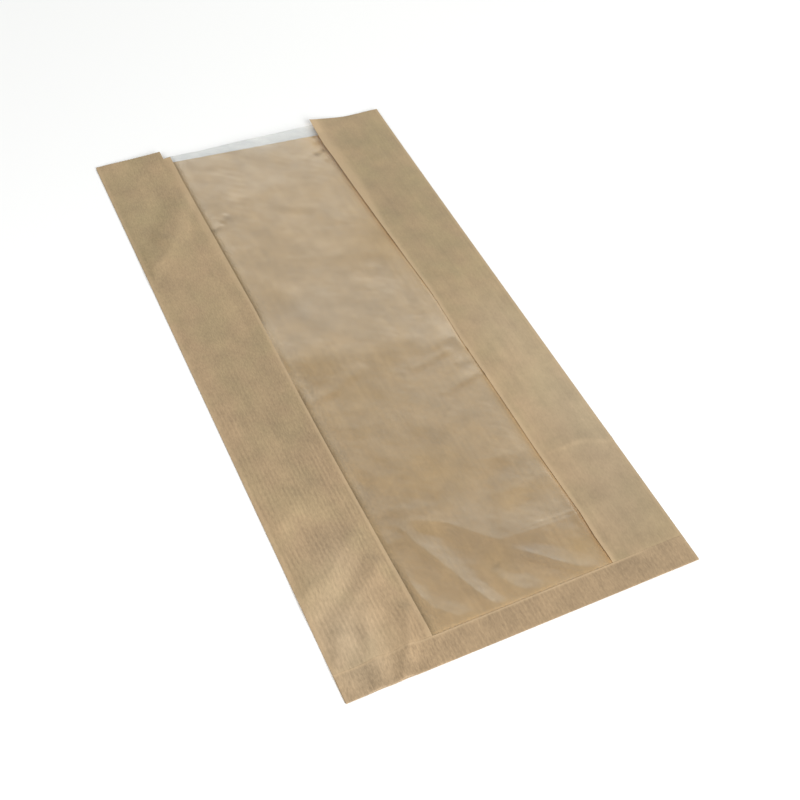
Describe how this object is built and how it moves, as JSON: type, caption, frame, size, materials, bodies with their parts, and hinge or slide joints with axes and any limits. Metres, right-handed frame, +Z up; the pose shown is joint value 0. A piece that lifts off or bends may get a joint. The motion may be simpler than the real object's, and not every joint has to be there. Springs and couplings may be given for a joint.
{
  "type": "window bag",
  "caption": "Flat, empty bread bag of ribbed brown kraft paper with a clear film window down its front, an open mouth and a folded and glued bottom, lying window side up.",
  "frame": {"origin": "under the middle of the bag, on the surface it lies on", "axes": "+Y along the bag toward its open mouth, +X across it to the right as seen from the bottom end, +Z up out of the window side"},
  "size_m": [0.18, 0.355, 0.0041],
  "materials": {
    "kraft": "ribbed, unbleached, matt to faintly glazed",
    "film": "clear, thin, glossy, softly crinkled"
  },
  "bodies": {
    "root": {"kraft_paper": "kraft", "window_film": "film"}
  },
  "joints": []
}
